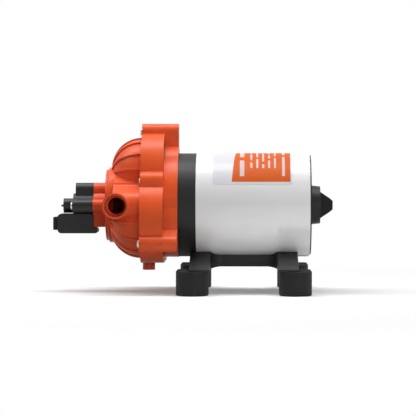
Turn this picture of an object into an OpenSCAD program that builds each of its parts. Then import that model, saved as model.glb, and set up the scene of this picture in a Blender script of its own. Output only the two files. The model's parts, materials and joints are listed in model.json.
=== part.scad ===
// Three-chamber diaphragm pump with a permanent-magnet motor, for water in a caravan.
// The motor axis runs along X, the head is at -X and the feet stand on Z = 0.
// X = 0 and Y = 0 are the centre of the four feet.

/* [Motor] */
// Outer diameter of the motor can
can_d = 78; // [76:1:80]
// Wall thickness of the motor can
can_wall = 1.8; // [1.4:0.1:2.2]
// Length of the motor can
can_len = 85; // [80:1:100]
// How far the middle of the can lies from the middle of the feet
can_shift = 6.7; // [4:0.1:9]
// Diameter of the motor shaft
shaft_d = 8; // [6:0.5:8.5]
// Radial thickness of the magnets
magnet_t = 6.9; // [5:0.1:8]
// Angle that each of the two magnets covers
magnet_angle = 128; // [100:2:140]
// Length of the magnets
magnet_len = 46; // [40:1:50]
// Radial gap between the magnets and the armature
air_gap = 0.8; // [0.5:0.1:1.2]
// Length of the armature core
core_len = 38; // [30:1:42]
// Number of winding slots in the armature core
slot_count = 12; // [9:1:14]
// Diameter of a winding slot
slot_d = 6.6; // [5:0.1:7]
// Axial length of the end turns of the windings
end_turn_len = 8; // [5:0.5:9]
// Diameter of the commutator
commutator_d = 22; // [18:0.5:24]
// Length of the commutator
commutator_len = 12; // [10:0.5:13]
// Outer diameter of the front bearing
front_bearing_d = 22; // [19:0.5:24]
// Width of the front bearing
front_bearing_w = 7; // [6:0.5:7]
// Outer diameter of the rear bearing
rear_bearing_d = 19; // [17:0.5:21]
// Width of the rear bearing
rear_bearing_w = 6; // [5:0.5:7]
// Width of a carbon brush along the shaft
brush_w = 7; // [5:0.5:8]
// Length of a carbon brush
brush_len = 10; // [8:0.5:11]

/* [Motor ends] */
// Width of the black ring between the head and the can
ring_w = 13.4; // [13:0.2:16]
// Depth that the ring's spigot reaches into the can
spigot_len = 4; // [3:0.5:6]
// Thickness of the end cap's plate inside the can
cap_plate_t = 5; // [4:0.5:6]
// Thickness of the end cap's rim outside the can
cap_rim_t = 1; // [0.8:0.1:2]
// Diameter of the end cap's hub at its foot
hub_d = 29.6; // [27:0.2:32]
// Diameter of the end cap's hub at its end
hub_end_d = 28; // [26:0.2:32]
// Length of the end cap's hub
hub_len = 7.2; // [6.8:0.2:10]
// Length of the rubber cable boot
boot_len = 9.4; // [8:0.2:14]
// Height of the cable boot where it leaves the hub
boot_h = 20; // [16:0.5:24]
// Height of the cable boot at its tip
boot_tip_h = 8.8; // [7:0.2:12]
// Width of the cable boot
boot_w = 13; // [10:0.5:16]

/* [Pump head] */
// Distance of the three chambers from the motor axis
chamber_pitch = 22.7; // [22.2:0.1:23.2]
// Radius of each lobe of the dome
dome_r = 26.8; // [26:0.1:27.4]
// Radius of the rounded shoulder of each lobe
dome_round = 21.6; // [20:0.1:22.4]
// Height of the dome above the flange
dome_h = 21.7; // [21.6:0.1:24]
// Wall thickness of the dome
dome_wall = 3.6; // [3:0.1:4.2]
// How far the ribs stand out of the dome
rib_h = 1.2; // [0.8:0.1:1.8]
// Thickness of the ribs
rib_t = 1.9; // [1.4:0.1:2.6]
// Angle between neighbouring ribs of a lobe
rib_step = 27; // [25:1:28]
// Radius of the round plate at the front of the dome
plateau_r = 28.4; // [27:0.1:30]
// How far the front plate stands out of the dome
plateau_rise = 5; // [4:0.1:6]
// Depth of the straight side of the front plate
plateau_side = 3.6; // [3:0.1:4.5]
// Radius of each lobe of the flange
flange_r = 31.6; // [31:0.1:32.4]
// Thickness of the flange
flange_t = 17.2; // [16.6:0.1:19]
// Distance of the outer screw bosses from the motor axis
tip_pitch = 55.3; // [54.5:0.1:56.5]
// Radius of the outer screw bosses
tip_r = 6; // [5.4:0.1:6.6]
// Distance of the inner screw bosses from the motor axis
waist_pitch = 35.6; // [35:0.1:36]
// Radius of the inner screw bosses
waist_r = 7.5; // [6.6:0.1:8]
// Thickness of the lower housing
lower_t = 10.6; // [10.4:0.1:12]
// Radius of the round body of the lower housing
lower_r = 39.4; // [39:0.1:40]
// Radius of the three lobes of the lower housing
lower_lobe_r = 22; // [21:0.1:23]
// Shank diameter of the housing screws
screw_d = 3.8; // [3:0.1:4.2]
// Head diameter of the housing screws
screw_head_d = 6; // [5.6:0.1:7]
// Height of a screw head
screw_head_h = 1.6; // [1.2:0.1:2.2]
// Width of the lug below the flange
lug_w = 9.4; // [8:0.1:11]
// How far the lug hangs below the lowest boss
lug_drop = 6; // [4:0.1:8]

/* [Ports] */
// Bore diameter of the inlet and outlet ports
port_bore_d = 15.8; // [15:0.1:16.2]
// Depth of the port bore
port_depth = 14; // [12:0.5:15]
// Outer diameter of the port mouths
port_d = 19.2; // [18.6:0.1:20]
// Distance of the port mouths from the motor axis
port_reach = 52.5; // [52:0.5:56]
// Distance of the port axis in front of the flange
port_forward = 17.4; // [17:0.1:17.6]
// Diameter of the narrow passage behind the port bore
port_neck_d = 12.2; // [10:0.1:12.4]
// Reach of the block behind each port
port_block_reach = 47; // [45:0.5:49]
// Radius of the port block's round nose
port_nose_r = 11; // [10.6:0.1:12]

/* [Valves and diaphragm] */
// Radius of each lobe of the pocket for valve plate and diaphragm
pocket_r = 26; // [25:0.1:26.6]
// Thickness of the valve plate
valve_plate_t = 7.4; // [7:0.1:7.8]
// Thickness of the diaphragm
diaphragm_t = 2.4; // [2:0.1:2.6]
// Radius of each pumping chamber in the valve plate
chamber_r = 14; // [13:0.1:15]
// Depth of each pumping chamber
chamber_depth = 3.2; // [3:0.1:3.6]
// Radius of the holes in the diaphragm where the pistons move
diaphragm_hole_r = 11.1; // [10.9:0.1:11.6]
// Radius of the piston discs
piston_r = 10; // [9:0.1:10.1]
// Thickness of the piston discs
piston_t = 3; // [2.6:0.1:3.2]
// Radius of the piston stems
piston_stem_r = 5; // [4:0.1:6]
// Inner radius of the outlet chamber behind the front plate
outlet_r = 12; // [11:0.1:12.4]
// Wall thickness of the passage from the outlet chamber to its port
passage_wall = 2.4; // [2:0.1:3]
// Wall thickness of the outlet chamber
outlet_wall = 3; // [2.5:0.1:3.4]

/* [Wobble drive] */
// Tilt of the wobble plate that makes the piston stroke
wobble_tilt = 3; // [2:0.1:3.2]
// Distance of the wobble centre in front of the ring
wobble_forward = 3.8; // [3.6:0.1:4]
// Radius of the wobble plate's hub
wobble_hub_r = 17; // [16.5:0.1:17.4]
// Width of the wobble plate's hub
wobble_hub_w = 8.4; // [8:0.1:8.8]
// Thickness of the wobble plate's arms
wobble_arm_t = 3.6; // [3:0.1:3.7]
// Half width of the wobble plate's arms
wobble_arm_r = 6.4; // [6:0.1:6.6]
// Outer diameter of the wobble bearing
wobble_bearing_d = 26; // [25:0.5:28]
// Bore diameter of the wobble bearing
wobble_bearing_bore = 15; // [14:0.5:16]
// Width of the wobble bearing
wobble_bearing_w = 7; // [6:0.5:7]

/* [Pressure switch] */
// Height of the pressure switch's axis from the motor axis
switch_rise = -0.6; // [-1:0.1:0]
// Length of the housing seat that carries the pressure switch
seat_len = 9.9; // [9:0.1:12]
// Radius of the seat's middle
seat_r = 11; // [10:0.1:12]
// Radius of the top screw tower
top_tower_r = 5.8; // [5.4:0.1:6.2]
// Distance of the top screw tower from the switch axis
top_tower_pitch = 11.5; // [11:0.1:12]
// Radius of the side screw towers
side_tower_r = 4.9; // [4.6:0.1:5.4]
// Distance of the side screw towers from the switch axis
side_tower_pitch = 12.6; // [12:0.1:13.2]
// Length of the top screw tower
top_tower_len = 13.6; // [12:0.1:15]
// Length of the side screw towers
side_tower_len = 15.4; // [14:0.1:17]
// Length of the spring tower in the middle
spring_tower_len = 23; // [22:0.1:24]
// Radius of the spring tower
spring_tower_r = 5.5; // [5.2:0.1:6]
// Bore radius of the spring tower
spring_bore_r = 3.8; // [3.6:0.1:4]
// Travel of the switch plunger
plunger_travel = 1.2; // [0.8:0.1:1.4]
// Shank diameter of the adjuster screw
adjuster_d = 4.8; // [4:0.1:5]
// Length of the micro-switch case in front of the seat
case_len = 27.2; // [26:0.1:30]
// Height of the micro-switch case
case_h = 14.8; // [14.4:0.1:17]
// Width of the micro-switch case
case_w = 17; // [15:0.5:19]
// Wall thickness of the micro-switch case
case_wall = 2; // [1.6:0.1:2.2]
// Length of the lead grommet outside the case
grommet_len = 3.4; // [3:0.1:5]
// Height of the lead grommet
grommet_h = 9.8; // [8:0.1:10]

/* [Base] */
// Spacing of the feet along the motor
foot_spacing_x = 75.6; // [70:0.2:80]
// Spacing of the feet across the motor
foot_spacing_y = 102; // [96:1:110]
// Diameter of a rubber foot
foot_d = 24.2; // [23:0.2:26]
// Height of a rubber foot
foot_h = 17.8; // [16:0.1:18]
// Diameter of the mounting hole in a foot
foot_hole_d = 4.6; // [4:0.1:4.8]
// Height of the raised collar round the mounting hole
foot_collar_h = 1.6; // [1:0.1:2.4]
// Thickness of the saddle under the lowest line of the can
saddle_t = 8.7; // [8:0.1:12]
// Spacing of the two saddle arms
arm_spacing = 65.2; // [62:0.2:66]
// Width of a saddle arm
arm_w = 15.1; // [13:0.1:15.4]
// Half the width of the cradle that holds the can
cradle_half = 17.8; // [16:0.1:19]
// Reach of the saddle arms from the middle
arm_reach = 60.5; // [58:0.1:62]
// Thickness of the saddle arm at its end
arm_end_t = 1.6; // [1.2:0.1:2.4]
// Half the width of the spine between the arms
spine_half = 12; // [10:0.1:14]
// Radius of the corners between the spine and the arms
spine_fillet = 9; // [6:0.5:11]
// Diameter of the peg that holds a foot
peg_d = 6.6; // [5:0.1:7]
// Length of the peg that holds a foot
peg_len = 9; // [7:0.5:12]

/* [Clearances] */
// Gap between two fixed pieces that are put together
fit_gap = 0.05; // [0.04:0.01:0.1]
// Gap between a shaft and the bore that it turns in
run_gap = 0.05; // [0.03:0.01:0.08]
// Gap round loose and soft pieces
loose_gap = 0.3; // [0.2:0.05:0.4]

/* [Hidden] */
$fn = 72;
eps = 0.01;

// Height of the motor axis above the floor
axis_h = foot_h + saddle_t + can_d / 2;

// Stations along the motor axis, from the can towards the head
can_r = can_d / 2;
can_bore_r = can_r - can_wall;
can_x0 = can_shift - can_len / 2;
can_x1 = can_shift + can_len / 2;
ring_x = can_x0 - ring_w;
lower_x = ring_x - lower_t;
flange_x = lower_x - flange_t;
shoulder_x = flange_x - (dome_h - dome_round);
dome_x = flange_x - dome_h;
plateau_x = dome_x - plateau_rise;
seat_x = plateau_x - seat_len;
port_x = flange_x - port_forward;
// The heads of the inner screws sit in shallow spot faces
waist_seat_x = flange_x + 0.5;

// Pocket for the diaphragm and the valve plate, open towards the motor
diaphragm_x = lower_x - diaphragm_t;
valve_gap = 0.1;
valve_x1 = diaphragm_x - valve_gap;
valve_x0 = valve_x1 - valve_plate_t;
pocket_x = valve_x0 - valve_gap;
pocket_fit = 0.3;

// Wobble drive
wobble_x = ring_x - wobble_forward;
shield_gap = 0.15;
arm_x0 = wobble_x - wobble_arm_t / 2;
lower_wall = 3;
lower_cavity_r = 31.4;
collar_r = 9;
collar_x0 = ring_x + 0.8;
collar_x1 = collar_x0 + 3.8;

// Motor
web_x = ring_x + 5.2;
ring_bore_r = waist_pitch - screw_d / 2 - 0.5;
front_bearing_x = web_x + 1;
shaft_r = shaft_d / 2;
shaft_x0 = wobble_x - 4;
rear_bearing_x = can_x1 - 2.6;
shaft_x1 = rear_bearing_x + rear_bearing_w + 1;
magnet_ro = can_bore_r - fit_gap;
magnet_ri = magnet_ro - magnet_t;
core_r = magnet_ri - air_gap;
core_mid = can_shift - 4;
core_x0 = core_mid - core_len / 2;
core_x1 = core_mid + core_len / 2;
slot_pitch = core_r - slot_d / 2 - 2;
commutator_x = core_x1 + end_turn_len + 1;
plate_x = commutator_x + brush_w + 2.2;
plate_t = 1.6;
brush_x = commutator_x + 1.5;
brush_side = 8;
brush_tip = commutator_d / 2 + run_gap;
bolt_pitch = can_bore_r - 3.4;
bolt_d = 3.2;
bolt_head_r = 2.8;
bolt_head_h = 1.8;
bolt_sink = 1.4;
ring_web_t = 3;
brush_spring_r = 2.6;
brush_spring_wire = 0.6;
cap_x0 = can_x1 - cap_plate_t;
hub_x0 = can_x1 + cap_rim_t;
hub_x1 = hub_x0 + hub_len;

// Pressure switch, measured from its own axis
switch_z = axis_h + switch_rise;
seal_recess = 2;
seal_r = 8;
plunger_head_r = 4.4;
plunger_head_t = 5;
plunger_gap = 0.1;
plunger_x1 = seat_x - plunger_gap;
head_bore_r = 5;
head_bore_len = plunger_gap + plunger_head_t + plunger_travel + 0.6;
spring_r = 3.2;
spring_wire = 0.6;
spring_x1 = plunger_x1 - plunger_head_t;
spring_seat_x = seat_x - spring_tower_len + 8.4;
spring_seat_t = 1.6;
spring_x0 = spring_seat_x + spring_seat_t;
split_z = -6;
finger_w = 3;
finger_t = 1.4;
finger_low = -12.6;
finger_x1 = plunger_x1 - 3.1;
slot_x0 = finger_x1 - finger_t - plunger_travel - 0.6;
slot_x1 = finger_x1 + 0.6;
case_x0 = seat_x - case_len;
case_round = 3;
body_len = 14;
body_h = 8.4;
body_w = 6.4;
button_gap = 0.4;
button_x1 = finger_x1 - finger_t - button_gap;
button_w = 2;
button_h = 2.4;
body_x1 = button_x1 - 2.4;
body_x0 = body_x1 - body_len;
body_z1 = split_z - case_wall - 0.2;
button_z = body_z1 - 3;
tongue_top = -16.4;
cover_screw_d = 2.6;
cover_head_d = 6;
cover_head_h = 1.4;
cover_screw_x1 = seat_x + seat_len - 2;
// The top screw's head is sunk in its tower
top_head_x = seat_x - top_tower_len + 2;
seat_low = -16;

// Base
foot_x = foot_spacing_x / 2;
foot_y = foot_spacing_y / 2;
arm_x = arm_spacing / 2;
cradle_drop = sqrt(can_r * can_r - cradle_half * cradle_half);
peg_x = arm_x + 1.4;
foot_collar_r = foot_hole_d / 2 + 2.4;
foot_hole_x = arm_x + arm_w / 2 + foot_collar_r + 0.15;
base_screw_d = 3.4;
spine_lift = 1.6;
// The underside arches from the arms to the spine
arch_r = 22.9;
arch_run = 8.4;
base_screw_x = arm_x - 3.4;
arch_half = arm_x - arm_w / 2 - arch_run + arch_r;
base_head_r = 3.1;
base_head_h = 2.35;
base_recess_r = base_head_r + loose_gap;

// Shared placing
module on_axis(x = 0) { translate([x, 0, axis_h]) rotate([90, 0, 90]) children(); }
module on_switch(x = 0) { translate([x, 0, switch_z]) rotate([90, 0, 90]) children(); }
module at_lobes() { for (i = [0:2]) rotate([0, 0, 90 + 120 * i]) children(); }
module at_waists() { for (i = [0:2]) rotate([0, 0, 30 + 120 * i]) children(); }
module tilted() {
  translate([wobble_x, 0, axis_h]) rotate([0, -wobble_tilt, 0])
    translate([-wobble_x, 0, -axis_h]) children();
}
module disc(x0, x1, r) { translate([0, 0, x0]) cylinder(h = x1 - x0, r = r); }
module ring(x0, x1, r_out, r_in) {
  difference() {
    disc(x0, x1, r_out);
    disc(x0 - 1, x1 + 1, r_in);
  }
}
// Screw along the axis with its head at the low end
module pan_screw(x0, x1, d, head_d, head_h) {
  disc(x0, x1, d / 2);
  translate([0, 0, x0 - head_h]) cylinder(h = head_h, r1 = head_d / 2 - 0.7, r2 = head_d / 2);
}

// Housing outlines, seen along the motor axis
module lobes_2d(pitch, r) { at_lobes() translate([pitch, 0]) circle(r); }
module tips_2d(from) {
  at_lobes() {
    translate([tip_pitch, 0]) circle(tip_r);
    translate([from, -tip_r]) square([tip_pitch - from, 2 * tip_r]);
  }
}
module waists_2d() { at_waists() translate([waist_pitch, 0]) circle(waist_r); }
module flange_2d() {
  lobes_2d(chamber_pitch, flange_r);
  tips_2d(chamber_pitch);
  waists_2d();
}
module lower_2d() {
  circle(lower_r);
  lobes_2d(chamber_pitch, lower_lobe_r);
  tips_2d(chamber_pitch);
}
module pocket_2d(gap) { lobes_2d(chamber_pitch, pocket_r - gap); }

// Half section of one dome lobe: x is the radius, y runs along the motor axis
module dome_2d(r, round, top, base) {
  intersection() {
    translate([r - round, top + round]) circle(round);
    translate([r - round, top]) square([round, round]);
  }
  translate([0, top]) square([r - round, base - top]);
  translate([0, top + round]) square([r, base - top - round]);
}
module dome_lobes(grow, base) {
  at_lobes() translate([chamber_pitch, 0, 0])
    rotate_extrude() dome_2d(dome_r + grow, dome_round + grow, dome_x - grow, base);
}
module dome_ribs() {
  at_lobes() translate([chamber_pitch, 0, 0])
    for (a = [-3:3]) rotate([0, 0, a * rib_step]) rotate([90, 0, 0])
      linear_extrude(rib_t, center = true) difference() {
        dome_2d(dome_r + rib_h, dome_round + rib_h, dome_x - rib_h, flange_x + 1);
        translate([-1, dome_x - 2 * rib_h]) square([1 + dome_r - dome_round, dome_h]);
      }
}
module screw_holes(pitch, x0, x1) {
  translate([pitch, 0, 0]) disc(x0, x1, screw_d / 2 + fit_gap);
}

// Outline of the seat and of the switch cover, seen along the switch axis
module towers_2d() {
  translate([0, top_tower_pitch]) circle(top_tower_r);
  for (s = [-1, 1]) translate([s * side_tower_pitch, 0]) circle(side_tower_r);
  translate([-side_tower_pitch, -side_tower_r]) square([2 * side_tower_pitch, 2 * side_tower_r]);
}
module at_towers() {
  translate([0, top_tower_pitch, 0]) children();
  for (s = [-1, 1]) translate([s * side_tower_pitch, 0, 0]) children();
}
module seat_2d() {
  circle(seat_r);
  towers_2d();
  translate([-side_tower_pitch * 0.6, seat_low]) square([side_tower_pitch * 1.2, -seat_low]);
}

// Block that carries both ports, seen along the motor axis. Its shoulders lie against the front
// plate's round and end in a round nose behind each port.
module port_block_2d() {
  nose_y = port_block_reach - port_nose_r;
  round_r = plateau_r - 0.6;
  lean = acos((round_r - port_nose_r) / nose_y);
  for (s = [-1, 1]) {
    translate([s * nose_y, 0]) circle(port_nose_r);
    polygon([[0, -port_nose_r], [s * nose_y, -port_nose_r],
      [s * (nose_y + port_nose_r * cos(lean)), port_nose_r * sin(lean)],
      [s * round_r * cos(lean), round_r * sin(lean)], [0, round_r * sin(lean)]]);
  }
}
module port_blocks() {
  on_axis(port_x - 2.6) linear_extrude(port_forward + 3) port_block_2d();
  translate([port_x, -port_reach, axis_h]) rotate([-90, 0, 0])
    cylinder(h = 2 * port_reach, r = port_d / 2);
}
module port_bore(side, inner) {
  rotate([side > 0 ? -90 : 90, 0, 0]) {
    translate([0, 0, port_reach - port_depth]) cylinder(h = port_depth + 1, r = port_bore_d / 2);
    translate([0, 0, inner]) cylinder(h = port_reach - inner, r = port_neck_d / 2);
    translate([0, 0, port_reach - 0.8])
      cylinder(h = 0.8 + eps, r1 = port_bore_d / 2, r2 = port_bore_d / 2 + 0.8);
  }
}

module upper_housing() {
  color("orangered") difference() {
    union() {
      on_axis() {
        dome_lobes(0, flange_x + 1);
        dome_ribs();
        disc(plateau_x, plateau_x + 2, plateau_r - 1.6);
        translate([0, 0, plateau_x + 1.2]) cylinder(h = 1.2, r1 = plateau_r - 2, r2 = plateau_r);
        disc(plateau_x + 2.4, plateau_x + 2.4 + plateau_side + 4, plateau_r);
        translate([0, 0, flange_x]) linear_extrude(flange_t) flange_2d();
      }
      on_switch(seat_x) linear_extrude(seat_len + 1) seat_2d();
      port_blocks();
      translate([flange_x + 0.2 + lug_w / 2, 0, axis_h - waist_pitch - waist_r - lug_drop])
        cylinder(h = lug_drop + waist_r, r = lug_w / 2);
    }
    on_axis() {
      difference() {
        dome_lobes(-dome_wall, pocket_x + 1);
        disc(dome_x, pocket_x + 2, outlet_r + outlet_wall);
        translate([-port_block_reach, 0, port_x]) rotate([0, 90, 0])
          cylinder(h = port_block_reach, r = port_neck_d / 2 + passage_wall);
      }
      disc(dome_x, pocket_x + 1, outlet_r);
      translate([0, 0, pocket_x]) linear_extrude(lower_x - pocket_x + 1) pocket_2d(0);
      at_lobes() screw_holes(tip_pitch, flange_x - 1, lower_x + 1);
      at_waists() {
        screw_holes(waist_pitch, flange_x - 1, lower_x + 1);
        translate([waist_pitch, 0, 0]) disc(plateau_x, waist_seat_x, screw_head_d / 2 + 0.6);
      }
    }
    translate([port_x, 0, axis_h]) {
      port_bore(-1, outlet_r - 3);
      port_bore(1, outlet_r + outlet_wall + 5);
    }
    on_switch(seat_x) {
      disc(-1, seal_recess, seal_r + loose_gap);
      disc(-1, seat_len + plateau_rise + 1, 2.5);
      at_towers() disc(-1, seat_len - 1.5, cover_screw_d / 2 + fit_gap);
    }
  }
}

module lower_housing() {
  color("orangered") on_axis() difference() {
    translate([0, 0, lower_x]) linear_extrude(lower_t) lower_2d();
    disc(lower_x + lower_wall, ring_x + 1, lower_cavity_r);
    disc(lower_x - 1, ring_x, wobble_hub_r + 1.5);
    at_lobes() translate([chamber_pitch, 0, 0]) disc(lower_x - 1, ring_x - 4, diaphragm_hole_r + 1.9);
    at_lobes() screw_holes(tip_pitch, lower_x - 1, ring_x - 2);
    at_waists() screw_holes(waist_pitch, lower_x - 1, ring_x + 1);
  }
}

module valve_plate() {
  color("ivory") on_axis() difference() {
    translate([0, 0, valve_x0]) linear_extrude(valve_plate_t) pocket_2d(pocket_fit);
    at_lobes() {
      translate([chamber_pitch, 0, 0]) disc(valve_x1 - chamber_depth, valve_x1 + 1, chamber_r);
      translate([chamber_pitch + 6, 0, 0]) {
        disc(valve_x0 - 1, valve_x1, 1.5);
        for (a = [60:60:360]) rotate([0, 0, a]) translate([4, 0, 0]) disc(valve_x0 - 1, valve_x1, 1.1);
      }
      translate([10, 0, 0]) for (s = [-1, 1]) translate([0, s * 2, 0]) disc(valve_x0 - 1, valve_x1, 1.2);
    }
    disc(valve_x0 - 1, valve_x1 - 2.4, 1.5);
    ring(valve_x0 - 1, valve_x0 + 1.2, outlet_r + outlet_wall, outlet_r + 0.8);
  }
}
module inlet_valves() {
  color("black") on_axis() at_lobes() translate([chamber_pitch + 6, 0, 0]) {
    disc(valve_x1 - chamber_depth, valve_x1 - chamber_depth + 0.9, 6);
    disc(valve_x0 - 0.6, valve_x1 - chamber_depth + 0.5, 1.4);
    disc(valve_x0 - 1.6, valve_x0 - 0.1, 2.2);
  }
}
module outlet_valve() {
  color("black") on_axis() {
    translate([0, 0, valve_x0 - 1]) cylinder(h = 1, r1 = 10, r2 = outlet_r - 0.4);
    disc(valve_x0 - 0.5, valve_x1 - 2.6, 1.4);
  }
}
module outlet_seal() {
  color("black") on_axis() ring(pocket_x, valve_x0 + 1.1, outlet_r + outlet_wall - 0.1, outlet_r + 0.9);
}
module diaphragm() {
  color("black") on_axis() difference() {
    translate([0, 0, diaphragm_x]) linear_extrude(diaphragm_t) pocket_2d(pocket_fit);
    at_lobes() translate([chamber_pitch, 0, 0]) disc(diaphragm_x - 1, lower_x + 1, diaphragm_hole_r);
  }
}

// The pistons, the wobble plate and its bearing lean together
piston_x1 = lower_x + 0.4;
piston_x0 = piston_x1 - piston_t;
module at_pistons() { at_lobes() translate([chamber_pitch, 0, 0]) children(); }
module pistons() {
  color("dimgray") tilted() on_axis() at_pistons() difference() {
    union() {
      translate([0, 0, piston_x0]) cylinder(h = 1, r1 = piston_r - 1, r2 = piston_r);
      disc(piston_x0 + 1, piston_x1, piston_r);
      disc(piston_x1 - 0.5, arm_x0, piston_stem_r);
    }
    disc(piston_x0 - 1, arm_x0 + 1, 1.7);
    disc(piston_x0 - 1, piston_x0 + 1.4, 3.4);
  }
}
module piston_screws() {
  color("silver") tilted() on_axis() at_pistons() {
    disc(piston_x0 + 0.2, piston_x0 + 1.4, 3.1);
    disc(piston_x0 + 0.5, arm_x0 + wobble_arm_t - 0.6, 1.6);
  }
}
module wobble_plate() {
  color("dimgray") tilted() on_axis() difference() {
    union() {
      disc(wobble_x - wobble_hub_w / 2, wobble_x + wobble_hub_w / 2, wobble_hub_r);
      at_lobes() {
        translate([chamber_pitch, 0, 0]) disc(arm_x0, arm_x0 + wobble_arm_t, wobble_arm_r);
        translate([0, -wobble_arm_r, arm_x0]) cube([chamber_pitch, 2 * wobble_arm_r, wobble_arm_t]);
      }
    }
    disc(wobble_x - 10, wobble_x + 10, wobble_bearing_d / 2);
    at_pistons() disc(arm_x0 - 1, arm_x0 + wobble_arm_t - 0.5, 1.6 + fit_gap);
  }
}
// Shielded ball bearing: the outer race with its shields, and the inner race
module ball_bearing(x0, w, d_out, d_in) {
  split = d_in / 2 + (d_out - d_in) * 0.14;
  ring(x0, x0 + w, d_out / 2 - fit_gap, split + shield_gap);
  ring(x0, x0 + w, split, d_in / 2 + run_gap);
}
module wobble_bearing() {
  color("silver") tilted() on_axis()
    ball_bearing(wobble_x - wobble_bearing_w / 2, wobble_bearing_w, wobble_bearing_d, wobble_bearing_bore);
}

module eccentric_hub() {
  color("gray") difference() {
    union() {
      tilted() on_axis() disc(wobble_x - wobble_bearing_w / 2, wobble_x + wobble_bearing_w / 2,
        wobble_bearing_bore / 2);
      on_axis() {
        disc(wobble_x, collar_x0 + 1, wobble_bearing_bore / 2 - 1.2);
        disc(collar_x0, collar_x1, collar_r);
      }
    }
    on_axis() disc(shaft_x0 - 5, collar_x1 + 1, shaft_r + fit_gap);
    translate([(collar_x0 + collar_x1) / 2, 0, axis_h]) cylinder(h = collar_r + 1, r = 1.3 + fit_gap);
  }
}
module hub_set_screw() {
  color("black") translate([(collar_x0 + collar_x1) / 2, 0, axis_h + shaft_r + fit_gap])
    cylinder(h = collar_r - shaft_r - 0.6, r = 1.3);
}
module tip_screws() {
  color("gainsboro") on_axis() at_lobes() translate([tip_pitch, 0, 0])
    pan_screw(flange_x, ring_x - 3, screw_d, screw_head_d, screw_head_h);
}
module waist_screws() {
  color("gainsboro") on_axis() at_waists() translate([waist_pitch, 0, 0])
    pan_screw(waist_seat_x, can_x0 - 2, screw_d, screw_head_d, screw_head_h);
}

module switch_diaphragm() {
  color("black") on_switch(seat_x) disc(loose_gap, seal_recess, seal_r);
}
module switch_plunger() {
  color("ivory") on_switch() {
    disc(spring_x1, plunger_x1, plunger_head_r);
    disc(spring_x1 - 3, plunger_x1, spring_r - spring_wire - 0.6);
    translate([-finger_w / 2, finger_low, finger_x1 - finger_t])
      cube([finger_w, -finger_low, finger_t]);
  }
}
module switch_spring() {
  color("silver") on_switch()
    ring(spring_x0, spring_x1, spring_r, spring_r - spring_wire);
}
module spring_seat() {
  color("silver") on_switch() {
    disc(spring_seat_x, spring_x0, spring_bore_r - 0.2);
    disc(spring_x0 - 0.5, spring_x0 + 1.5, spring_r - spring_wire - 0.4);
  }
}
module adjuster_screw() {
  color("dimgray") on_switch() {
    disc(seat_x - spring_tower_len + 0.4, spring_seat_x, adjuster_d / 2);
    disc(seat_x - spring_tower_len - 1.9, spring_seat_x - 1, 0.8);
  }
}
module switch_cover() {
  color("dimgray") on_switch() difference() {
    union() {
      intersection() {
        translate([0, 0, seat_x - side_tower_len]) linear_extrude(side_tower_len) union() {
          circle(seat_r - 1.5);
          for (s = [-1, 1]) translate([s * side_tower_pitch, 0]) circle(side_tower_r);
          translate([-side_tower_pitch, -side_tower_r])
            square([2 * side_tower_pitch, 2 * side_tower_r]);
        }
        translate([-30, split_z, seat_x - 60]) cube(60);
      }
      translate([0, top_tower_pitch, 0]) disc(seat_x - top_tower_len, seat_x, top_tower_r);
      translate([-top_tower_r, 0, seat_x - top_tower_len])
        cube([2 * top_tower_r, top_tower_pitch, top_tower_len]);
      intersection() {
        disc(seat_x - spring_tower_len, seat_x, spring_tower_r);
        translate([-30, split_z, seat_x - 60]) cube(60);
      }
    }
    disc(seat_x - spring_tower_len + 2.6, seat_x + 1, spring_bore_r);
    disc(seat_x - head_bore_len, seat_x + 1, head_bore_r);
    disc(seat_x - spring_tower_len - 1, seat_x, adjuster_d / 2 + run_gap);
    translate([-finger_w / 2 - 0.5, split_z - 1, slot_x0])
      cube([finger_w + 1, 3, seat_x - slot_x0 + 1]);
    at_towers() disc(seat_x - side_tower_len - 1, seat_x + 1, cover_screw_d / 2 + fit_gap);
    translate([0, top_tower_pitch, 0])
      disc(seat_x - side_tower_len - 1, top_head_x, cover_head_d / 2 + loose_gap);
  }
}
module switch_screws() {
  color("silver") on_switch() {
    for (s = [-1, 1]) translate([s * side_tower_pitch, 0, 0])
      pan_screw(seat_x - side_tower_len, cover_screw_x1, cover_screw_d, cover_head_d, cover_head_h);
    translate([0, top_tower_pitch, 0])
      pan_screw(top_head_x, cover_screw_x1, cover_screw_d, cover_head_d, cover_head_h);
  }
}

// Plain rectangle with four round corners
module rounded_2d(w, h, r) {
  translate([r, 0]) square([w - 2 * r, h]);
  translate([0, r]) square([w, h - 2 * r]);
  for (x = [r, w - r], y = [r, h - r]) translate([x, y]) circle(r);
}
module along_y(w) { translate([0, w / 2, 0]) rotate([90, 0, 0]) linear_extrude(w) children(); }
module microswitch_case() {
  inner_w = case_w - 2 * case_wall;
  color("dimgray") translate([0, 0, switch_z]) difference() {
    along_y(case_w) difference() {
      union() {
        translate([case_x0, split_z - case_h]) rounded_2d(case_len - loose_gap, case_h, case_round);
        translate([seat_x - 12, split_z - case_h]) rounded_2d(15.2, case_h + tongue_top - split_z, 2);
        translate([seat_x - 12, split_z - case_h + 4]) square([12 - loose_gap, case_h - 4]);
      }
    }
    along_y(inner_w) translate([case_x0 + case_wall, split_z - case_h + case_wall])
      square([case_len - 2 * case_wall, case_h - 2 * case_wall]);
    along_y(finger_w + 1) translate([slot_x0, split_z - case_wall - 1])
      square([slot_x1 - slot_x0, case_wall + 2]);
    along_y(inner_w - 2) translate([case_x0 - 1, grommet_low + 1])
      square([case_wall + 2, grommet_h - 2]);
  }
}
grommet_low = split_z - (case_h + grommet_h) / 2;
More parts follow.
